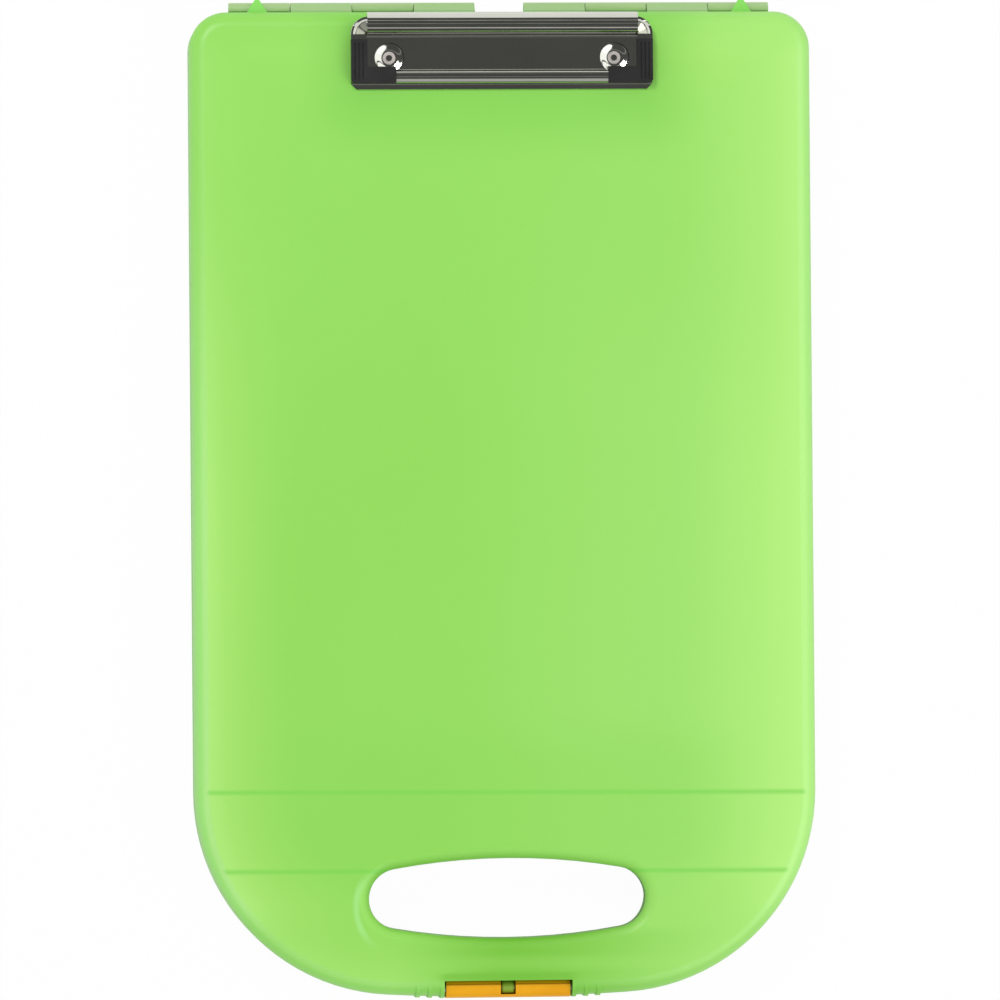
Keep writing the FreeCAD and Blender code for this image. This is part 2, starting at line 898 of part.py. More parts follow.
across_x(
    lid,
    "latch_knuckle_arm",
    (
        (latch_y, latch_z - cell("latch_knuckle_radius")),
        (latch_y + latch_sweep + cell("recess_back_wall") / 2, latch_z - cell("latch_knuckle_radius")),
        (latch_y + latch_sweep + cell("recess_back_wall") / 2, latch_z),
        (latch_y, latch_z),
    ),
    cell("latch_knuckle_width"),
)
rod(
    lid,
    "latch_knuckle",
    -knuckle_half,
    cell("latch_knuckle_width"),
    latch_y,
    latch_z,
    cell("latch_knuckle_radius"),
)
pin_fit = cell("latch_pin_radius") + cell("pin_clearance")
pin_reach = block_half_width + cell("latch_side_gap")
bore(lid, "latch_pin_hole", -pin_reach, 2 * pin_reach, latch_y, latch_z, pin_fit)
clip_front_y = hinge_end - cell("clip_setback")
rivet_y = clip_front_y + cell("rivet_back")
rivet_hole = cell("rivet_shank_radius") + cell("rivet_fit")
holes = new_sketch(lid, "rivet_holes_plan", "XY_Plane", lid_top - cell("lid_skin") - overrun)
add_circle(holes, cell("rivet_spread"), rivet_y, rivet_hole)
add_circle(holes, -cell("rivet_spread"), rivet_y, rivet_hole)
pocket(lid, "rivet_holes", holes, cell("lid_skin") + 2 * overrun, reverse=True)

bodies = [tray, lid]

# Case hinge pins

pins = new_body("hinge_pins")
pin = rod(
    pins,
    "hinge_pin",
    cell("hinge_inset") + 2 * cell("knuckle_clearance"),
    2 * cell("knuckle_pairs") * cell("knuckle_pitch") - 4 * cell("knuckle_clearance"),
    hinge_axis_y,
    hinge_axis_z,
    cell("hinge_pin_radius"),
)
mirror_x(pins, "hinge_pin_pair", [pin])
bodies.append(pins)

# Latch

latch = new_body("latch")
rod(latch, "latch_barrel", -latch_half, cell("latch_width"), latch_y, latch_z, cell("latch_barrel_radius"))
crown_y = latch_y - (cell("latch_face_reach") - cell("latch_barrel_radius"))
rod(latch, "latch_crown", -latch_half, cell("latch_width"), crown_y, latch_z, cell("latch_barrel_radius"))
face_y = latch_y - cell("latch_face_reach")
back_y = face_y + cell("latch_plate")
foot_z = cell("latch_foot_height")
across_x(
    latch,
    "latch_plate",
    ((face_y, foot_z), (back_y, foot_z), (back_y, latch_z), (face_y, latch_z)),
    cell("latch_width"),
)
hook_top = cell("catch_height") - cell("hook_clearance")
hook_y = catch_y - cell("catch_reach") + cell("hook_reach")
hook_root_y = back_y - cell("latch_plate") * cell("weld_share")
across_x(
    latch,
    "latch_hook",
    (
        (hook_root_y, hook_top - cell("hook_height")),
        (back_y, hook_top - cell("hook_height")),
        (hook_y, hook_top - cell("hook_height") * cell("hook_slope_share")),
        (hook_y, hook_top),
        (hook_root_y, hook_top),
    ),
    cell("hook_width"),
)
slot_y = face_y + cell("latch_web")
across_x(
    latch,
    "latch_slot",
    (
        (slot_y, latch_z - cell("latch_face_reach")),
        (slot_y + 2 * cell("latch_face_reach"), latch_z - cell("latch_face_reach")),
        (slot_y + 2 * cell("latch_face_reach"), latch_z + cell("latch_face_reach")),
        (slot_y, latch_z + cell("latch_face_reach")),
    ),
    cell("latch_knuckle_width") + 2 * cell("latch_knuckle_gap"),
    cut=True,
)
bore(latch, "latch_bore", -latch_half - overrun, cell("latch_width") + 2 * overrun, latch_y, latch_z, pin_fit)
bodies.append(latch)

latch_pin = new_body("latch_pin")
pin_half = block_half_width - cell("latch_knuckle_gap") / 2
rod(latch_pin, "latch_pin_bar", -pin_half, 2 * pin_half, latch_y, latch_z, cell("latch_pin_radius"))
bodies.append(latch_pin)

# Board clip. Its pieces are drawn from the clip's front edge and the lid's top.


def clip_body(label):
    body = new_body(label)
    bind(body, "Placement.Base.y", clip_front_y)
    bind(body, "Placement.Base.z", lid_top)
    bodies.append(body)
    return body


metal = cell("sheet_metal")
axis_back = cell("clip_axis_back")
axis_up = cell("clip_axis_up")
roll_radius = cell("roll_radius")
roll_inner = roll_radius - metal
clip_half = cell("clip_half_width")


def on_roll(radius, angle):
    return axis_back + radius * cosine(angle), axis_up + radius * sine(angle)


jaw = clip_body("clip_jaw")
foot_level = cell("clip_rest_gap") + metal / 2
section = new_sketch(jaw, "jaw_section", "YZ_Plane")
roll_front = cell("roll_front_angle")
plate_end = on_roll(roll_radius - metal * cell("weld_share"), roll_front)[0]
add_bent_sheet(
    section,
    (
        (ZERO, foot_level, None),
        (cell("jaw_rise"), foot_level, cell("jaw_foot_bend")),
        (cell("jaw_rise"), cell("bead_shoulder"), cell("shoulder_bend")),
        (cell("bead_front"), cell("bead_top"), cell("bead_front_bend")),
        (cell("bead_back"), cell("bead_top"), cell("bead_back_bend")),
        (cell("plate_start"), cell("plate_level"), cell("plate_bend")),
        (plate_end, cell("plate_level"), None),
    ),
    metal,
)
pad(jaw, "jaw_sheet", section, 2 * clip_half, both_ways=True)
chamfer(
    jaw,
    "flange_corners",
    lambda p: abs(p.y) < near and abs(abs(p.x) - clip_half.value) < near,
    cell("clip_corner_cut"),
)
roll = new_sketch(jaw, "roll_section", "YZ_Plane")
roll_back = cell("roll_back_angle")
over = as_size(90)
add_loop(
    roll,
    (
        (*on_roll(roll_radius, roll_back), roll_radius),
        (*on_roll(roll_radius, over), roll_radius),
        (*on_roll(roll_radius, roll_front), None),
        (*on_roll(roll_inner, roll_front), -roll_inner),
        (*on_roll(roll_inner, over), -roll_inner),
        (*on_roll(roll_inner, roll_back), None),
    ),
)
pad(jaw, "jaw_roll", roll, 2 * cell("roll_half_width"), both_ways=True)
# The sheet sweeps up from the plate into the roll.
sweep = cell("roll_root_bend")
plate_top = cell("plate_level") + metal / 2
sweep_drop = axis_up - plate_top - sweep
sweep_share = sweep / (roll_radius + sweep)
sweep_run = root((roll_radius + sweep) * (roll_radius + sweep) - sweep_drop * sweep_drop)
sweep_back = axis_back - sweep_run * (1 - sweep_share)
sweep_top = plate_top + sweep + sweep_drop * sweep_share
root_section = new_sketch(jaw, "roll_root_section", "YZ_Plane")
add_loop(
    root_section,
    (
        (axis_back - sweep_run, plate_top, sweep),
        (sweep_back, sweep_top, None),
        (sweep_back + metal / 2, sweep_top, None),
        (plate_end + metal / 2, cell("plate_level"), None),
        (axis_back - sweep_run, cell("plate_level"), None),
    ),
)
pad(jaw, "roll_root", root_section, 2 * cell("roll_half_width"), both_ways=True)
# Cheeks close the ends of the roll and carry the pivot pin.
cheek = rod(jaw, "roll_cheek", cell("roll_half_width") - metal, metal, axis_back, axis_up, roll_radius)
wing = new_sketch(jaw, "wing_plan", "XY_Plane", cell("wing_low"))
wing_end = axis_back + roll_radius * cell("wing_end_share")
wing_in = cell("roll_half_width") - metal / 2
wing_run = clip_half - wing_in
wing_climb = wing_end - cell("wing_bend")
# The wing leaves the clip's side smoothly and curves in to the end of the roll.
wing_radius = (wing_run * wing_run + wing_climb * wing_climb) / (2 * wing_run)
wing_share = (wing_radius - metal) / wing_radius
wing_centre = clip_half - wing_radius
add_loop(
    wing,
    (
        (clip_half, cell("wing_start"), None),
        (clip_half, cell("wing_bend"), wing_radius),
        (wing_in, wing_end, None),
        (
            wing_centre + (wing_in - wing_centre) * wing_share,
            cell("wing_bend") + wing_climb * wing_share,
            metal - wing_radius,
        ),
        (clip_half - metal, cell("wing_bend"), None),
        (clip_half - metal, cell("wing_start"), None),
    ),
)
wing_wall = pad(jaw, "jaw_wing", wing, cell("plate_level") + metal / 2 - cell("wing_low"))
mirror_x(jaw, "jaw_ends", [cheek, wing_wall])
# Two corners are cut out of the sheet for the plastic grips.
grip_front = cell("grip_front")
grip_knee = grip_front + cell("grip_front_depth")
grip_side = clip_half - cell("grip_side_width")
seat = cell("grip_seat_gap")
corner = new_sketch(jaw, "grip_seat_plan", "XY_Plane", cell("clip_rest_gap") + metal)
add_polygon(
    corner,
    (
        (cell("grip_inner") - seat, grip_front - seat),
        (clip_half + overrun, grip_front - seat),
        (clip_half + overrun, cell("grip_back") + seat),
        (grip_side - seat, cell("grip_back") + seat),
        (grip_side - seat, grip_knee + seat),
        (cell("grip_inner") - seat, grip_knee + seat),
    ),
)
seat_cut = pocket(jaw, "grip_seat", corner, cell("bead_top") + overrun, reverse=True)
opening = new_sketch(jaw, "access_plan", "XY_Plane", ZERO)
add_circle(opening, cell("rivet_spread"), cell("rivet_back"), cell("access_hole_radius"))
access = pocket(jaw, "access_hole", opening, cell("bead_top") + overrun, reverse=True)
mirror_x(jaw, "jaw_cutouts", [seat_cut, access])
pin_room = cell("pivot_pin_radius") + cell("pin_clearance")
bore(jaw, "jaw_pin_hole", -clip_half, 2 * clip_half, axis_back, axis_up, pin_room)

base = clip_body("clip_base_plate")
plate = new_sketch(base, "base_plan", "XY_Plane")
add_box(plate, -cell("lug_spread"), cell("lug_spread"), cell("base_front"), axis_back)
pad(base, "base_sheet", plate, metal)
lug = new_sketch(base, "lug_section", "YZ_Plane", cell("lug_spread") - metal)
lug_radius = cell("lug_radius")
lug_flank = lug_radius * cell("lug_flank_share")
lug_shoulder = axis_up - lug_radius * cell("lug_shoulder_share")
add_polygon(
    lug,
    (
        (axis_back - lug_radius * cell("lug_foot_share"), ZERO),
        (axis_back, ZERO),
        (axis_back + lug_flank, lug_shoulder),
        (axis_back, axis_up),
        (axis_back - lug_flank, lug_shoulder),
        (axis_back - lug_radius, axis_up / 2),
    ),
)
lug_web = pad(base, "lug_web", lug, metal)
lug_eye = rod(base, "lug_eye", cell("lug_spread") - metal, metal, axis_back, axis_up, lug_radius)
mirror_x(base, "lugs", [lug_web, lug_eye])
bore(base, "lug_bores", -clip_half, 2 * clip_half, axis_back, axis_up, pin_room)
eyes = new_sketch(base, "base_rivet_plan", "XY_Plane", -overrun)
add_circle(eyes, cell("rivet_spread"), cell("rivet_back"), rivet_hole)
add_circle(eyes, -cell("rivet_spread"), cell("rivet_back"), rivet_hole)
pocket(base, "base_rivet_holes", eyes, metal + 2 * overrun, reverse=True)

pivot = clip_body("clip_pivot_pin")
pivot_half = cell("pivot_pin_length") / 2
rod(pivot, "pivot_bar", -pivot_half, 2 * pivot_half, axis_back, axis_up, cell("pivot_pin_radius"))

# Plastic grips on the two front corners

for label, hand in (("clip_grip_right", 1), ("clip_grip_left", -1)):
    grip = clip_body(label)
    grip_floor = cell("clip_rest_gap") + metal + seat
    grip_top = cell("plate_level") + metal / 2 + cell("grip_rise")
    plan = new_sketch(grip, label + "_plan", "XY_Plane", grip_floor)
    add_polygon(
        plan,
        (
            (cell("grip_inner") * hand, grip_front),
            (clip_half * hand, grip_front),
            (clip_half * hand, cell("grip_back")),
            (grip_side * hand, cell("grip_back")),
            (grip_side * hand, grip_knee),
            (cell("grip_inner") * hand, grip_knee),
        ),
    )
    pad(grip, label + "_arms", plan, grip_top - grip_floor)
    lip = new_sketch(grip, label + "_lip_plan", "XY_Plane", grip_floor)
    lip_start = grip_side - cell("grip_lip")
    lip_end = grip_side + cell("grip_lip")
    add_box(
        lip,
        (lip_start if hand > 0 else lip_end) * hand,
        (lip_end if hand > 0 else lip_start) * hand,
        grip_knee + cell("grip_lip"),
        cell("grip_back"),
    )
    lip_top = cell("plate_level") - metal / 2 - seat
    pad(grip, label + "_lip", lip, lip_top - grip_floor)
    outer = (clip_half * hand).value
    front = grip_front.value
    corner_round = cell("grip_corner_round")
    fillet(
        grip,
        label + "_corner",
        lambda p: abs(p.x - outer) < near and abs(p.y - front) < near,
        corner_round,
    )
    slots = new_sketch(grip, label + "_groove_plan", "XY_Plane", grip_top - cell("groove_depth"))
    for number in range(3):
        middle = clip_half - cell("groove_pitch") * (number + 1)
        low, high = middle - cell("groove_width") / 2, middle + cell("groove_width") / 2
        add_box(
            slots,
            (low if hand > 0 else high) * hand,
            (high if hand > 0 else low) * hand,
            grip_front + cell("grip_corner_round"),
            cell("grip_back") - cell("grip_corner_round"),
        )
    pocket(grip, label + "_grooves", slots, cell("groove_depth") + overrun, reverse=True)

# Tubular rivets, and the washers under the lid


def turned_pair(label, loop):
    """A section turned about an upright line, and its twin on the other side."""
    body = clip_body(label)
    section = new_sketch(body, label + "_section", "XZ_Plane", -cell("rivet_back"))
    x = -cell("rivet_spread")
    add_polygon(section, [(x + out, up) for out, up in loop])
    number = section.addGeometry(
        Part.LineSegment(Vector(x.value, 0, 0), Vector(x.value, metal.value, 0)), True
    )
    section.addConstraint(Sketcher.Constraint("Vertical", number))
    for kind, tip, size in (("DistanceX", 1, x), ("DistanceY", 1, ZERO), ("DistanceY", 2, metal)):
        here = section.addConstraint(Sketcher.Constraint(kind, number, tip, size.value))
        if size is not ZERO:
            bind(section, f"Constraints[{here}]", size)
    turned = body.newObject("PartDesign::Revolution", label + "_turned")
    turned.Profile = section
    turned.ReferenceAxis = (section, ["Axis0"])
    turned.Angle = 360
    document.recompute()
    mirror_x(body, label + "_pair", [turned])
    return body


under_lid = -cell("lid_skin")
shank = cell("rivet_shank_radius")
flange = cell("rivet_flange_radius")
rivet_bore = cell("rivet_bore_radius")
rivet_foot = under_lid - cell("washer_thickness")
turned_pair(
    "clip_rivets",
    (
        (rivet_bore, rivet_foot - cell("rivet_flange")),
        (flange, rivet_foot - cell("rivet_flange")),
        (flange, rivet_foot),
        (shank, rivet_foot),
        (shank, metal),
        (flange, metal),
        (flange, metal + cell("rivet_flange")),
        (rivet_bore, metal + cell("rivet_flange")),
    ),
)
turned_pair(
    "rivet_washers",
    (
        (rivet_hole, rivet_foot),
        (cell("washer_radius"), rivet_foot),
        (cell("washer_radius"), under_lid),
        (rivet_hole, under_lid),
    ),
)

# Torsion spring: one wire with a straight leg under the jaw and a bent leg on the base


def arc_through(start, heading, end):
    """The arc that leaves start along heading and reaches end."""
    chord = end - start
    half_angle = heading.getAngle(chord)
    toward = heading - chord * (heading.dot(chord) / chord.dot(chord))
    sag = chord.Length / 2 * math.tan(half_angle / 2)
    middle = start + chord / 2 + toward.normalize() * sag
    return Part.Arc(start, middle, end).toShape()


def biarc(start, heading, end, leaving):
    """Two arcs that join smoothly and carry one heading into the other."""
    chord = end - start
    both = heading + leaving
    square = both.dot(both) - 4
    linear = -2 * chord.dot(both)
    reach = (-linear - math.sqrt(linear**2 - 4 * square * chord.dot(chord))) / (2 * square)
    joint = (start + heading * reach + end - leaving * reach) / 2
    middle_heading = (end - leaving * reach - start - heading * reach).normalize()
    return [arc_through(start, heading, joint), arc_through(joint, middle_heading, end)]


coil_radius = cell("spring_coil_radius").value
wire_radius = cell("spring_wire").value / 2
pitch = cell("spring_pitch").value
quarters = int(cell("spring_quarter_turns").value)
coil_length = pitch * quarters / 4


def coil_point(turn):
    angle = 2 * math.pi * turn - math.pi / 2
    return Vector(
        pitch * turn - coil_length / 2,
        axis_back.value + coil_radius * math.cos(angle),
        axis_up.value + coil_radius * math.sin(angle),
    )


def coil_heading(turn):
    angle = 2 * math.pi * turn - math.pi / 2
    around = 2 * math.pi * coil_radius
    return Vector(pitch, -around * math.sin(angle), around * math.cos(angle)).normalize()


leg = cell("spring_leg").value
bend = cell("spring_leg_bend").value
coil_start, coil_end = coil_point(0), coil_point(quarters / 4)
knee = coil_start - coil_heading(0) * leg
foot = Vector(knee.x, knee.y - leg, metal.value + wire_radius + cell("spring_leg_gap").value)
foot_heading = (knee - foot).normalize()
bend_in, bend_out = knee - foot_heading * bend, knee + coil_heading(0) * bend
edges = [
    Part.makeLine(foot, bend_in),
    arc_through(bend_in, foot_heading, bend_out),
    Part.makeLine(bend_out, coil_start),
]
for quarter in range(quarters):
    here, there = quarter / 4, (quarter + 1) / 4
    edges += biarc(coil_point(here), coil_heading(here), coil_point(there), coil_heading(there))
plate_under = cell("plate_level").value - metal.value / 2
leg_level = plate_under - wire_radius - cell("spring_leg_gap").value
down = coil_heading(quarters / 4)
turn_reach = (coil_end.z - leg_level) / -down.z
corner_point = coil_end + down * turn_reach
forward = Vector(0, -1, 0)
after_turn = corner_point + forward * turn_reach
edges.append(arc_through(coil_end, down, after_turn))
edges.append(Part.makeLine(after_turn, after_turn + forward * cell("spring_long_leg").value))
path = Part.Wire(edges)
sides = int(cell("spring_sides").value)
aside = Vector(1, 0, 0)
upward = foot_heading.cross(aside).normalize()
rim = [
    foot
    + aside * wire_radius * math.cos(2 * math.pi * side / sides)
    + upward * wire_radius * math.sin(2 * math.pi * side / sides)
    for side in range(sides)
]
profile = Part.makePolygon(rim + rim[:1])
tube = path.makePipeShell([profile], True, False)
spring = document.addObject("Part::Feature", "clip_spring")
spring.Label = "clip_spring"
spring.Shape = tube
spring.Placement = Placement(Vector(0, clip_front_y.value, lid_top.value), Rotation())
bodies.append(spring)

points = [coil_point(step / 64) for step in range(int(quarters * 16) + 1)]
gaps = [
    a.distanceToPoint(b) - 2 * wire_radius
    for index, a in enumerate(points)
    for b in points[index + 32 :]
]
print("least gap of the spring to itself:", round(min(gaps), 3), "mm")

# Files

document.recompute()
for item in document.Objects:
    if "Invalid" in item.State or "Error" in item.State:
        raise RuntimeError(f"{item.Name} did not build: {item.State}")
os.makedirs("parts", exist_ok=True)
for item in bodies:
    shape = item.Shape
    if shape.isNull() or not shape.isValid():
        raise RuntimeError(f"{item.Label} is not a valid solid")
    print(item.Label, len(shape.Solids), "solid(s),", len(shape.Faces), "faces,", round(shape.Volume), "mm3")
    shape.exportStep(f"parts/{item.Label}.step")
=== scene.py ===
import math

import bpy
from mathutils import Matrix, Vector


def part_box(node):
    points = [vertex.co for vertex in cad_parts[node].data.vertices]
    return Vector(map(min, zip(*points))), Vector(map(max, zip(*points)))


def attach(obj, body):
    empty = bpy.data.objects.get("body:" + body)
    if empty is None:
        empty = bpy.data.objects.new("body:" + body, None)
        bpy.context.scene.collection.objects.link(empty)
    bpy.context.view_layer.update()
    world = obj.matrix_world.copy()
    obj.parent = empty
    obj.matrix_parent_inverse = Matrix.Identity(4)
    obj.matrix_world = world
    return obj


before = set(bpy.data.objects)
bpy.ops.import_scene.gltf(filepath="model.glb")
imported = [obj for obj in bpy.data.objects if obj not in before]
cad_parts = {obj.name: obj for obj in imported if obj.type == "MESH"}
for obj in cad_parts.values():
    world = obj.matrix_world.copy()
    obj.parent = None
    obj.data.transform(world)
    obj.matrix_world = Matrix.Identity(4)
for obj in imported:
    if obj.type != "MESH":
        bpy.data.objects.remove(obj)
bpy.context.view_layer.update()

# Studio: a pale table top under a plain bright room. The case is photographed from straight
# above, with the camera a little to one side, so flat metal shows the dark ceiling behind it.


class Signal:
    """One output of a node, so that sums on values are written as sums."""

    def __init__(self, finish, socket):
        self.finish = finish
        self.socket = socket

    def math(self, operation, *others):
        return self.finish.node(
            "ShaderNodeMath", {"operation": operation}, dict(enumerate((self, *others)))
        )

    def __add__(self, other):
        return self.math("ADD", other)

    __radd__ = __add__

    def __sub__(self, other):
        return self.math("SUBTRACT", other)

    def __rsub__(self, other):
        return self.finish.node(
            "ShaderNodeMath", {"operation": "SUBTRACT"}, {0: other, 1: self}
        )

    def __mul__(self, other):
        return self.math("MULTIPLY", other)

    __rmul__ = __mul__

    def __truediv__(self, other):
        return self.math("DIVIDE", other)

    def __abs__(self):
        return self.math("ABSOLUTE")

    def least(self, other):
        return self.math("MINIMUM", other)

    def most(self, other):
        return self.math("MAXIMUM", other)

    def length(self, other):
        """The long side of a right triangle with these two sides."""
        return (self * self + other * other).math("SQRT")

    def between(self, low, high):
        """0 below low, 1 above high, and a smooth rise between them."""
        return self.finish.node(
            "ShaderNodeMapRange",
            {"interpolation_type": "SMOOTHSTEP"},
            {"Value": self, "From Min": low, "From Max": high},
        )

    def band(self, low, high, soft):
        """1 from low to high, with soft edges."""
        rise = self.between(low - soft, low + soft)
        return rise * (1.0 - self.between(high - soft, high + soft))


class Finish:
    """The node tree of a material, or of the room."""

    def __init__(self, owner):
        owner.use_nodes = True
        self.owner = owner
        self.tree = owner.node_tree
        self.tree.nodes.clear()

    def node(self, kind, settings=None, sockets=None, output=0):
        """Adds a node with its settings, and the values or links of its sockets."""
        made = self.tree.nodes.new(kind)
        for name, value in (settings or {}).items():
            if name == "stops":
                ramp = made.color_ramp
                while len(ramp.elements) < len(value):
                    ramp.elements.new(0.5)
                for element, (place, colour) in zip(ramp.elements, value):
                    element.position = place
                    element.color = (*colour, 1)
            else:
                setattr(made, name, value)
        for name, value in (sockets or {}).items():
            if isinstance(value, Signal):
                self.tree.links.new(value.socket, made.inputs[name])
            else:
                made.inputs[name].default_value = value
        return Signal(self, made.outputs[output] if made.outputs else None)

    def outputs(self, kind, sockets=None):
        """Adds a node and gives all its outputs by name."""
        made = self.node(kind, None, sockets).socket.node
        return {out.name: Signal(self, out) for out in made.outputs}

    def parts(self, vector):
        """The three numbers of a vector."""
        return list(self.outputs("ShaderNodeSeparateXYZ", {"Vector": vector}).values())

    def blend(self, share, first, second):
        """From the first colour to the second as share rises."""
        start, end = (
            colour if isinstance(colour, Signal) else (*colour, 1) for colour in (first, second)
        )
        # The node's colours go in at sockets 6 and 7, and the mixed colour is output 2.
        return self.node(
            "ShaderNodeMix", {"data_type": "RGBA"}, {"Factor": share, 6: start, 7: end}, 2
        )

    def place(self):
        """Where on the case a point is, in metres from its middle."""
        return self.outputs("ShaderNodeTexCoord")["Object"]

    def facing(self):
        """The surface's direction in the piece's own axes."""
        return self.outputs("ShaderNodeTexCoord")["Normal"]

    def noise(self, scale, detail, vector=None):
        return self.node(
            "ShaderNodeTexNoise",
            None,
            {"Vector": vector or self.place(), "Scale": scale, "Detail": detail},
        )

    def bump(self, height, strength, distance):
        return self.node(
            "ShaderNodeBump",
            None,
            {"Height": height, "Strength": strength, "Distance": distance},
        )

    def surface(self, **sockets):
        """Ends the material in a Principled surface with these sockets."""
        shader = self.node(
            "ShaderNodeBsdfPrincipled",
            None,
            {name.replace("_", " "): value for name, value in sockets.items()},
        )
        self.node("ShaderNodeOutputMaterial", None, {"Surface": shader})
        return self.owner


scene = bpy.context.scene
scene.view_settings.view_transform = "Standard"

room = bpy.data.worlds.new("room")
scene.world = room
sky = Finish(room)
rays = sky.outputs("ShaderNodeLightPath")
seen = rays["Is Camera Ray"].most(rays["Is Transmission Ray"])
across, along, up = sky.parts(sky.outputs("ShaderNodeTexCoord")["Generated"])
# Metal shows a dark ceiling with narrow strip lights that run from side to side, a white
# wall behind the hinge end, white walls low down at the sides and a white panel on the right,
# with a dark gap across it. Tilt is in degrees from straight up towards the hinge end, and
# lean towards the right.
degrees = 180 / math.pi
tilt = along.math("ARCTAN2", up) * degrees
lean = across.math("ARCTAN2", up) * degrees
hinge_wall = tilt.between(49.0, 56.0) * 0.85
strip_edge = 1.5
hinge_strip = tilt.band(22.0, 27.0, strip_edge) * 0.4
handle_strip = tilt.band(-11.0, -6.5, strip_edge) * 0.2
low_strip = tilt.band(-60.0, -47.0, strip_edge) * 0.42
panel_gap = tilt.band(14.0, 19.0, 1.0)
panel = lean.band(13.0, 64.0, 2.5) * tilt.band(-34.0, 34.0, 4.0) * (1.0 - panel_gap) * 1.25
side_walls = abs(across).between(0.72, 0.86) * 0.95
strips = hinge_strip + handle_strip + low_strip
brightest = hinge_wall.most(strips).most(panel).most(side_walls)
ceiling, lit_share = 0.07, 0.94
mirrored = ceiling + brightest * lit_share
# Dull surfaces get an even light, and the camera sees plain white.
ambient = 0.62
level = ambient + rays["Is Glossy Ray"] * (mirrored - ambient)
level = level + seen * (1.0 - level)
light = sky.node("ShaderNodeBackground", None, {"Color": (1, 1, 1, 1), "Strength": level})
sky.node("ShaderNodeOutputWorld", None, {"Surface": light})

# The table top is white laminate. It mirrors nothing and looks plain white to the camera.
table_width, table_gap = 6.0, 0.0004
bpy.ops.object.select_all(action="DESELECT")
bpy.ops.mesh.primitive_plane_add(size=table_width, location=(0, 0, -table_gap))
bpy.ops.object.transform_apply(location=True, rotation=True, scale=True)
table = bpy.context.object
table.name = "table"
laminate = Finish(bpy.data.materials.new("white_laminate"))
lit = laminate.node("ShaderNodeBsdfDiffuse", None, {"Color": (0.9, 0.9, 0.9, 1)})
glow = laminate.node("ShaderNodeEmission", None, {"Color": (1, 1, 1, 1), "Strength": 1.0})
glow_share = laminate.outputs("ShaderNodeLightPath")["Is Camera Ray"] * 0.97
top = laminate.node("ShaderNodeMixShader", None, {0: glow_share, 1: lit, 2: glow})
laminate.node("ShaderNodeOutputMaterial", None, {"Surface": top})
table.data.materials.append(laminate.owner)

# Two square softboxes, both turned to the case.
for name, spot, size, power in (
    ("key_softbox", (-0.50, 0.75, 1.35), 0.38, 7.5),
    ("fill_softbox", (0.9, -0.7, 1.2), 1.0, 6.0),
):
    softbox = bpy.data.lights.new(name, "AREA")
    softbox.shape = "SQUARE"
    softbox.size = size
    softbox.energy = power
    lamp = bpy.data.objects.new(name, softbox)
    lamp.location = spot
    lamp.rotation_euler = (-Vector(spot)).to_track_quat("-Z", "Y").to_euler()
    scene.collection.objects.link(lamp)

# The photograph's camera: turned so that the picture's right, up and depth come from the
# case's axes, then set back along its own axis. The film is in millimetres, the distance in
# metres, and 2.4307 pictures side by side would cover a metre at the case.
film_width, distance, pictures_per_metre = 36, 3.0, 2.4307
shift_right, shift_up = 0.000318, 0.001841
turn_z, turn_y, turn_x = 0.415, 4.629, -0.639
lens = bpy.data.cameras.new("camera")
lens.sensor_width = film_width
lens.lens = film_width * pictures_per_metre * distance
camera = bpy.data.objects.new("camera", lens)
turn = (
    Matrix.Rotation(math.radians(turn_z), 3, "Z")
    @ Matrix.Rotation(math.radians(turn_y), 3, "Y")
    @ Matrix.Rotation(math.radians(turn_x), 3, "X")
).transposed()
stand = turn @ Vector((shift_right, shift_up, distance))
camera.matrix_world = Matrix.Translation(stand) @ turn.to_4x4()
scene.collection.objects.link(camera)
scene.camera = camera

# Tray shell: the lower moulding of light green polypropylene, with a fine matt grain from
# the mould. Its outer wall is painted a little paler, as painted light leaking through the
# edge, and its hinge knuckles are greyer, with a painted line of shade at their root.


def dress(node, material):
    """Gives a CAD node its finish."""
    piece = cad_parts[node]
    piece.data.materials.clear()
    piece.data.materials.append(material)


def mould_grain(finish, scale, strength, depth):
    """The fine matt grain that a moulding takes from its mould."""
    return finish.bump(finish.noise(scale, detail=3.0), strength, depth)


# Where the knuckles start and the painted shade line at their root, in metres along the case.
knuckle_start = (0.2011, 0.2013)
root_shade_line = (0.2012, 0.2017, 0.0001)

tray_skin = Finish(bpy.data.materials.new("tray_polypropylene"))
along = tray_skin.parts(tray_skin.place())[1]
cloud = tray_skin.noise(scale=9.0, detail=3.0)
steepness = 1.0 - abs(tray_skin.parts(tray_skin.facing())[2])
deep_green, light_green = (0.275, 0.71, 0.105), (0.30, 0.735, 0.12)
wall_glow_green, knuckle_green = (0.31, 0.70, 0.17), (0.42, 0.62, 0.27)
root_shade_green = (0.12, 0.24, 0.08)
green = tray_skin.blend(cloud.between(0.3, 0.75), deep_green, light_green)
# Painted light: the steep walls are painted paler where light leaks through the edge.
green = tray_skin.blend(steepness.between(0.3, 0.95), green, wall_glow_green)
green = tray_skin.blend(along.between(*knuckle_start), green, knuckle_green)
# Painted shade: a dark line at the root of the knuckles.
green = tray_skin.blend(along.band(*root_shade_line) * 0.7, green, root_shade_green)
tray_green = tray_skin.surface(
    Base_Color=green,
    Roughness=0.34 + cloud * 0.12,
    Normal=mould_grain(tray_skin, scale=2600.0, strength=0.12, depth=0.0004),
)
dress("tray_shell", tray_green)

# Lid shell: the upper moulding of the same plastic, hinged to the tray, which is the writing
# board. Its two dividers show through the skin as deeper lines, light leaking out along the
# rounded rim is painted in pale bands, and the deep walls round the handle darken the skin.
lid_skin = Finish(bpy.data.materials.new("lid_polypropylene"))
# Places are in metres: across to the right, along to the hinge end and up out of the board.
across, along, up = lid_skin.parts(lid_skin.place())
to_left = -1.0 * across
to_handle = -1.0 * along
off_middle = abs(across)
cloud = lid_skin.noise(scale=7.0, detail=3.0)
steepness = 1.0 - abs(lid_skin.parts(lid_skin.facing())[2])
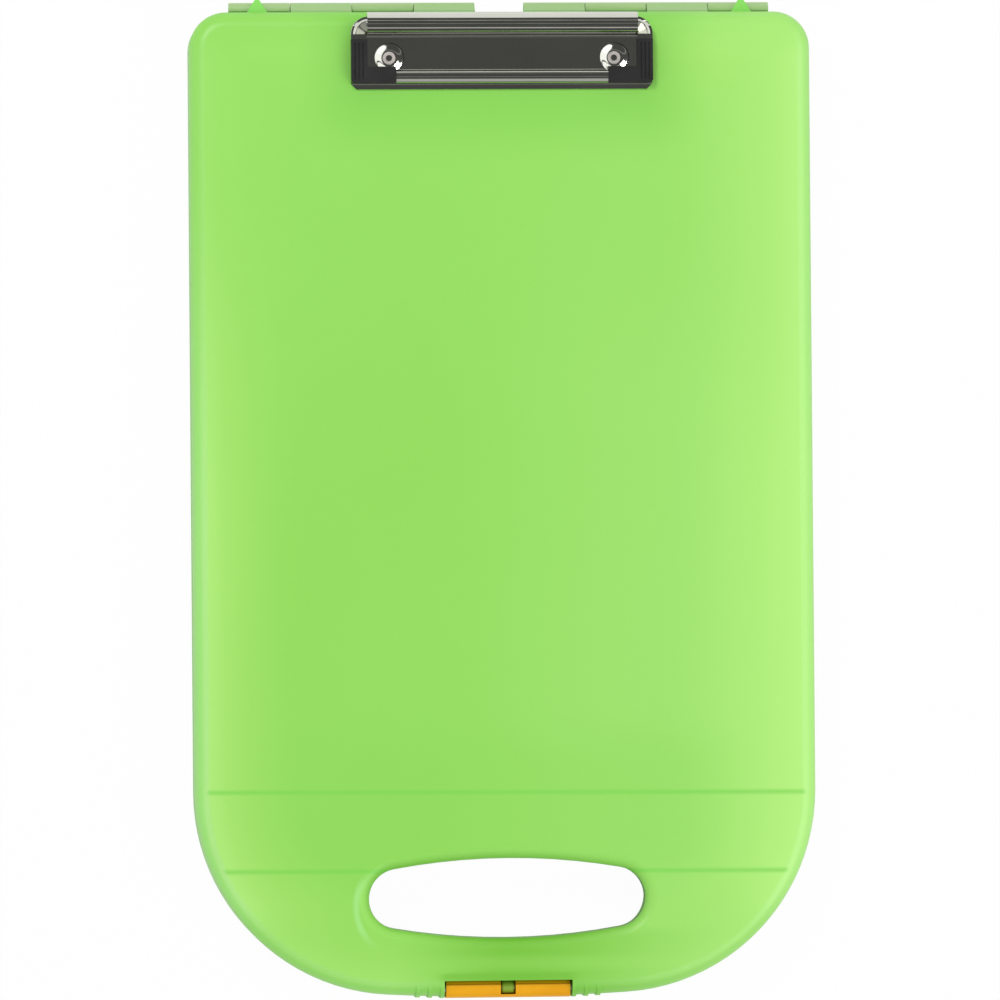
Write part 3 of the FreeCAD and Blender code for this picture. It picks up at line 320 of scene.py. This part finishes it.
# How far in from the outline, first round the handle end and then round the hinge end. Each
# end has two round corners, with their centres at these places.
handle_radius, handle_x, handle_y = 0.0825, 0.0445, 0.1173
hinge_radius, hinge_x, hinge_y = 0.015, 0.112, 0.186
past_corner = (off_middle - handle_x).most(0.0).length((to_handle - handle_y).most(0.0))
handle_inset = handle_radius - past_corner
past_corner = (off_middle - hinge_x).most(0.0).length((along - hinge_y).most(0.0))
hinge_inset = hinge_radius - past_corner
hinge_inset = hinge_inset + (hinge_x - off_middle).least(hinge_y - along).most(0.0)
inset = handle_inset.least(hinge_inset)
# The board is lightly clouded, paler to the right from painted light, and deeper towards the
# handle.
deep_green, light_green = (0.292, 0.738, 0.100), (0.306, 0.752, 0.110)
right_light_green, handle_green = (0.345, 0.785, 0.14), (0.275, 0.725, 0.095)
green = lid_skin.blend(cloud.between(0.3, 0.75), deep_green, light_green)
lit_to_right = across.between(-0.035, 0.065) * (1.0 - along.between(0.03, 0.12) * 0.5)
# Painted light: the board is painted paler towards the right.
green = lid_skin.blend(lit_to_right, green, right_light_green)
near_handle = to_handle.between(0.08, 0.11) * (1.0 - to_handle.between(0.14, 0.16))
green = lid_skin.blend(near_handle * 0.45, green, handle_green)
# Pale bands of painted light follow the rim; they fade at both ends and towards the far left.
glow_bands_width = 0.025
painted_rim_glow = lid_skin.node(
    "ShaderNodeValToRGB",
    {
        "stops": (
            (0.0, (0.37, 0.78, 0.215)),
            (0.022, (0.37, 0.79, 0.21)),
            (0.048, (0.36, 0.83, 0.19)),
            (0.105, (0.365, 0.84, 0.19)),
            (0.155, (0.45, 0.88, 0.25)),
            (0.205, (0.45, 0.88, 0.25)),
            (0.255, (0.435, 0.865, 0.185)),
            (0.520, (0.385, 0.81, 0.145)),
            (0.90, (0.36, 0.785, 0.13)),
        )
    },
    {"Fac": inset / glow_bands_width},
)
far_left = along.between(-0.02, 0.15) * to_left.between(0.0, 0.1)
low_right = across.between(0.03, 0.09) * to_handle.between(0.148, 0.178)
rim_glow_share = 1.0 - inset.between(0.012, 0.045)
rim_glow_share = rim_glow_share * (1.0 - along.between(0.180, 0.197) * 0.8)
rim_glow_share = rim_glow_share * (1.0 - to_handle.between(0.160, 0.178) * 0.5)
rim_glow_share = rim_glow_share * (1.0 - far_left * 0.75) * (1.0 - low_right * 0.6)
# Painted light: pale bands where light leaks out through the rim.
green = lid_skin.blend(rim_glow_share, green, painted_rim_glow)
# Painted light makes the whole right side paler still.
side_light_green = (0.505, 0.965, 0.235)
side_light_share = 0.62 - along.between(0.0, 0.1) * 0.2 - low_right * 0.3
# Painted light: the right side is painted paler still.
green = lid_skin.blend(across.between(0.058, 0.125) * side_light_share, green, side_light_green)
# The skin is deeper in colour round the board clip.
clip_end, clip_front = 0.058, 0.166
clip_green = (0.225, 0.67, 0.075)
from_clip = (off_middle - clip_end).most(0.0).length((clip_front - along).most(0.0))
near_clip = 1.0 - from_clip.between(0.0, 0.03)
green = lid_skin.blend(near_clip * 0.6, green, clip_green)
# The handle bar is deeper between the hole and the latch, with a paler streak along it, and
# so is the ledge at the latch.
bar_green, ledge_green = (0.178, 0.573, 0.030), (0.17, 0.54, 0.03)
bar = to_handle.between(0.171, 0.177) * across.between(-0.053, 0.002)
bar = bar * (1.0 - across.between(0.0, 0.09))
streak = to_handle.band(0.1845, 0.1895, 0.002)
bar = bar * (1.0 - streak * 0.3)
green = lid_skin.blend(bar * 0.88, green, bar_green)
ledge_y = 0.1925
ledge = 1.0 - abs(to_handle - ledge_y).between(0.0006, 0.0022)
ledge = ledge * (1.0 - off_middle.between(0.024, 0.031))
green = lid_skin.blend(ledge * 0.6, green, ledge_green)
# The dividers' lines run a little askew and stop short of the rim.
paper_divider, pen_divider = 0.1175, 0.1496
divider_green = (0.205, 0.71, 0.078)
off_paper_divider = abs(along + paper_divider + across * 0.008)
off_pen_divider = abs(along + pen_divider + across * 0.007)
divider_line = 1.0 - off_paper_divider.least(off_pen_divider).between(0.0, 0.0017)
divider_line = divider_line * inset.between(0.004, 0.0062)
green = lid_skin.blend(divider_line * 0.7, green, divider_green)
# A painted highlight: a pale arc where the skin turns down towards the left end of the hand
# hole.
arc_x, arc_y, arc_radius = 0.0398, 0.1636, 0.0222
arc_highlight_green = (0.40, 0.86, 0.24)
off_highlight_arc = abs((across + arc_x).length(to_handle - arc_y) - arc_radius)
arc_highlight = (1.0 - off_highlight_arc.between(0.0002, 0.0021)) * to_left.between(0.048, 0.054)
arc_highlight = arc_highlight * to_handle.between(0.149, 0.157) * (1.0 - to_handle.between(0.172, 0.182))
# Painted highlight: the pale arc beside the hand hole.
green = lid_skin.blend(arc_highlight * 0.8, green, arc_highlight_green)
# The hand hole's cut edge is olive, and so is the lid's knuckle in the middle of the latch.
hole_olive, latch_olive = (0.22, 0.40, 0.12), (0.26, 0.42, 0.03)
latch_dark = (0.17, 0.21, 0.004)
hole_near, hole_far, hole_end = 0.142, 0.179, 0.058
in_hole = steepness.between(0.80, 0.97)
in_hole = in_hole * (1.0 - off_middle.between(hole_end, hole_end + 0.001))
in_hole = in_hole * to_handle.band(hole_near, hole_far, 0.0005)
green = lid_skin.blend(in_hole, green, hole_olive)
on_knuckle = (1.0 - off_middle.between(0.0026, 0.0028)) * to_handle.between(0.1941, 0.1943)
olive = lid_skin.blend(off_middle.between(0.0017, 0.0024), latch_olive, latch_dark)
green = lid_skin.blend(on_knuckle, green, olive)
# Hinge knuckles are greyer, with painted shade at their root; the stop fingers are bright.
knuckle_green, finger_green = (0.385, 0.61, 0.25), (0.27, 0.77, 0.125)
root_shade_green = (0.14, 0.30, 0.09)
on_finger = up.between(0.0215, 0.0218) * (1.0 - steepness.between(0.1, 0.2))
hinge_green = lid_skin.blend(on_finger, knuckle_green, finger_green)
green = lid_skin.blend(along.between(*knuckle_start), green, hinge_green)
shade_at_root = along.band(*root_shade_line) * (1.0 - on_finger)
# Painted shade: a dark line at the root of the knuckles, left off the stop fingers.
green = lid_skin.blend(shade_at_root * 0.45, green, root_shade_green)
lid_green = lid_skin.surface(
    Base_Color=green,
    Roughness=0.32 + cloud * 0.12,
    Normal=mould_grain(lid_skin, scale=2600.0, strength=0.12, depth=0.0004),
)
dress("lid_shell", lid_green)

# Hinge, latch and clip pins: bright drawn steel wire, with fine lengthwise draw marks. Each
# runs through the knuckles or lugs that turn on it.


def lengthwise(finish, squeeze, scale, detail):
    """Fine marks that run along a piece from side to side."""
    across, along, up = finish.parts(finish.place())
    drawn_out = finish.node(
        "ShaderNodeCombineXYZ", None, {"X": across * squeeze, "Y": along, "Z": up}
    )
    return finish.noise(scale, detail, drawn_out)


drawn_steel = Finish(bpy.data.materials.new("pin_steel"))
marks = lengthwise(drawn_steel, squeeze=0.02, scale=6000.0, detail=2.0)
dull_steel, bright_steel = (0.55, 0.55, 0.53), (0.68, 0.68, 0.66)
pin_steel = drawn_steel.surface(
    Base_Color=drawn_steel.blend(marks, dull_steel, bright_steel),
    Metallic=1.0,
    Roughness=0.22 + marks * 0.12,
)
dress("hinge_pins", pin_steel)
dress("latch_pin", pin_steel)
dress("clip_pivot_pin", pin_steel)

# Latch: an amber moulding of the same plastic, which swings on its pin at the handle end.
# Its back, under the lid's edge, is painted duller amber as shade, behind a painted shade line.
amber = Finish(bpy.data.materials.new("latch_polypropylene"))
along = amber.parts(amber.place())[1]
cloud = amber.noise(scale=60.0, detail=2.0)
deep_amber, light_amber = (0.86, 0.385, 0.001), (0.93, 0.43, 0.003)
under_lid_shade_amber, shade_line_brown = (0.80, 0.42, 0.004), (0.42, 0.17, 0.0)
shade_line_y = -0.1957
plain = amber.blend(cloud.between(0.3, 0.7), deep_amber, light_amber)
# Painted shade: the back, under the lid's edge, is painted duller.
shaded = amber.blend(along.between(-0.1958, -0.1953), plain, under_lid_shade_amber)
# Painted shade: a dark line where the latch goes under the lid's edge.
shade_line = 1.0 - abs(along - shade_line_y).between(0.00015, 0.0005)
amber_plastic = amber.surface(
    Base_Color=amber.blend(shade_line * 0.85, shaded, shade_line_brown),
    Roughness=0.3 + cloud * 0.1,
    Specular_IOR_Level=0.3,
    Normal=mould_grain(amber, scale=2600.0, strength=0.1, depth=0.0003),
)
dress("latch", amber_plastic)

# Clip base plate and jaw: pressed sheet steel with bright chrome plate, with faint polishing
# lines along the jaw. The base plate is riveted to the lid, and the jaw turns on its lugs.
chrome = Finish(bpy.data.materials.new("clip_chrome"))
lines = lengthwise(chrome, squeeze=0.03, scale=2200.0, detail=3.0)
smudge = chrome.noise(scale=45.0, detail=3.0)
dull_chrome, bright_chrome = (0.70, 0.705, 0.63), (0.78, 0.785, 0.71)
clip_chrome = chrome.surface(
    Base_Color=chrome.blend(smudge, dull_chrome, bright_chrome),
    Metallic=1.0,
    Roughness=0.05 + smudge * 0.05,
    Normal=chrome.bump(lines, strength=0.05, distance=0.0001),
)
dress("clip_base_plate", clip_chrome)
dress("clip_jaw", clip_chrome)

# Wing flares and webs: the jaw's sheet rolls over at each end, from the corner of the plate
# up to the end of the roll. Its sloping outer face is what shines from above, and inside it a
# web slopes down like a bowl.
jaw_low, jaw_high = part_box("clip_jaw")
# Each corner's centre, in from the jaw's end and back from its front edge, and the level
# that a section's heights are counted from, above the jaw's lowest point.
corner_in, corner_back, wing_level = 0.00717, 0.0222, 0.0036
corner_sweep, corner_steps = math.radians(-86), 20
# Each section's four corners as distance out and height: inner low, outer low, inner high
# and outer high.
flare_section = ((0.0051, 0.0009), (0.0067, -0.0005), (0.0054, 0.0012), (0.00724, -0.0004))
web_section = ((0.0014, -0.0015), (0.0051, 0.0007), (0.0014, -0.0012), (0.0051, 0.0010))
for name, section in (("wing_flare_", flare_section), ("wing_web_", web_section)):
    for side, hand in (("left", -1), ("right", 1)):
        bpy.ops.object.select_all(action="DESELECT")
        pivot = Vector(((jaw_high[0] - corner_in) * hand, jaw_low[1] + corner_back, 0))
        bpy.ops.mesh.primitive_plane_add(size=0.0005)
        flare = bpy.context.object
        flare.name = name + side
        for vertex, (out, lift) in zip(flare.data.vertices, section):
            vertex.co = pivot + Vector((out * hand, 0, jaw_low[2] + wing_level + lift))
        bpy.ops.object.mode_set(mode="EDIT")
        bpy.ops.mesh.select_all(action="SELECT")
        bpy.ops.mesh.spin(
            steps=corner_steps, angle=corner_sweep * hand, center=pivot, axis=(0, 0, 1)
        )
        bpy.ops.mesh.select_all(action="SELECT")
        bpy.ops.mesh.normals_make_consistent(inside=False)
        bpy.ops.object.mode_set(mode="OBJECT")
        bpy.ops.object.shade_smooth_by_angle(angle=math.radians(40))
        flare.data.materials.append(clip_chrome)
        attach(flare, "jaw")

# Torsion spring: a coil of oiled spring wire, wound round the pivot pin and hidden in the
# roll of the jaw. One leg bears on the base plate and the other on the jaw.
oiled = Finish(bpy.data.materials.new("spring_steel"))
film = oiled.noise(scale=700.0, detail=2.0)
dark_wire, bright_wire = (0.38, 0.38, 0.37), (0.5, 0.5, 0.49)
spring_steel = oiled.surface(
    Base_Color=oiled.blend(film, dark_wire, bright_wire),
    Metallic=1.0,
    Roughness=0.3 + film * 0.15,
)
dress("clip_spring", spring_steel)

# Grips: two mouldings of black plastic, pressed on the jaw's front corners to pull it open
# by. They are satin on their flats.
black = Finish(bpy.data.materials.new("grip_plastic"))
cloud = black.noise(scale=120.0, detail=2.0)
deep_black, soft_black = (0.006, 0.0065, 0.006), (0.012, 0.0125, 0.0115)
grip_black = black.surface(
    Base_Color=black.blend(cloud, deep_black, soft_black),
    Roughness=0.30 + cloud * 0.12,
    Normal=mould_grain(black, scale=3000.0, strength=0.15, depth=0.0003),
)
dress("clip_grip_left", grip_black)
dress("clip_grip_right", grip_black)

# Rivets and washers: tubular nickel-plated rivets, rolled over at both ends. They hold the
# clip's base plate to the lid, over washers on its underside.
nickel = Finish(bpy.data.materials.new("rivet_nickel"))
tarnish = nickel.noise(scale=900.0, detail=3.0)
dull_nickel, bright_nickel = (0.78, 0.72, 0.66), (0.88, 0.83, 0.78)
rivet_nickel = nickel.surface(
    Base_Color=nickel.blend(tarnish, dull_nickel, bright_nickel),
    Metallic=1.0,
    Roughness=0.30 + tarnish * 0.12,
)
dress("clip_rivets", rivet_nickel)
dress("rivet_washers", rivet_nickel)

# Rivet bosses: round dished bosses pressed up in the base plate, which the rivets hold down.
# One side of each dish is what shines in the jaw's two access holes.
rivet_low, rivet_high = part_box("clip_rivets")
head_radius, head_height = 0.0026, 0.00045
rivet_x = rivet_high[0] - head_radius
rivet_y = (rivet_low[1] + rivet_high[1]) / 2
plate_top = rivet_high[2] - head_height
boss_radius, boss_root, boss_height = 0.0059, 0.0001, 0.00095
# The dish goes down in rings from its rim to the rivet: each ring's width and its drop.
dish_rings = ((0.0001, 0.0), (0.0009, 0.00032), (0.0009, 0.00027), (0.0007, 0.00016))
well_ledge, well_depth = 0.00068, 0.0007
for side, hand in (("left", -1), ("right", 1)):
    bpy.ops.object.select_all(action="DESELECT")
    bpy.ops.mesh.primitive_circle_add(
        vertices=72,
        radius=boss_radius,
        location=(rivet_x * hand, rivet_y, plate_top - boss_root),
        fill_type="NGON",
    )
    boss = bpy.context.object
    boss.name = "rivet_boss_" + side
    bpy.ops.object.mode_set(mode="EDIT")
    bpy.ops.mesh.select_all(action="SELECT")
    bpy.ops.mesh.extrude_region_move(TRANSFORM_OT_translate={"value": (0, 0, boss_height)})
    for width, drop in dish_rings:
        bpy.ops.mesh.inset(thickness=width)
        bpy.ops.transform.translate(value=(0, 0, -drop))
    bpy.ops.mesh.inset(thickness=well_ledge)
    bpy.ops.mesh.extrude_region_move(TRANSFORM_OT_translate={"value": (0, 0, -well_depth)})
    bpy.ops.mesh.select_all(action="SELECT")
    bpy.ops.mesh.normals_make_consistent(inside=False)
    bpy.ops.object.mode_set(mode="OBJECT")
    bpy.ops.object.transform_apply(location=True, rotation=True, scale=True)
    bpy.ops.object.shade_smooth_by_angle(angle=math.radians(50))
    boss.data.materials.append(clip_chrome)
    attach(boss, "lid")
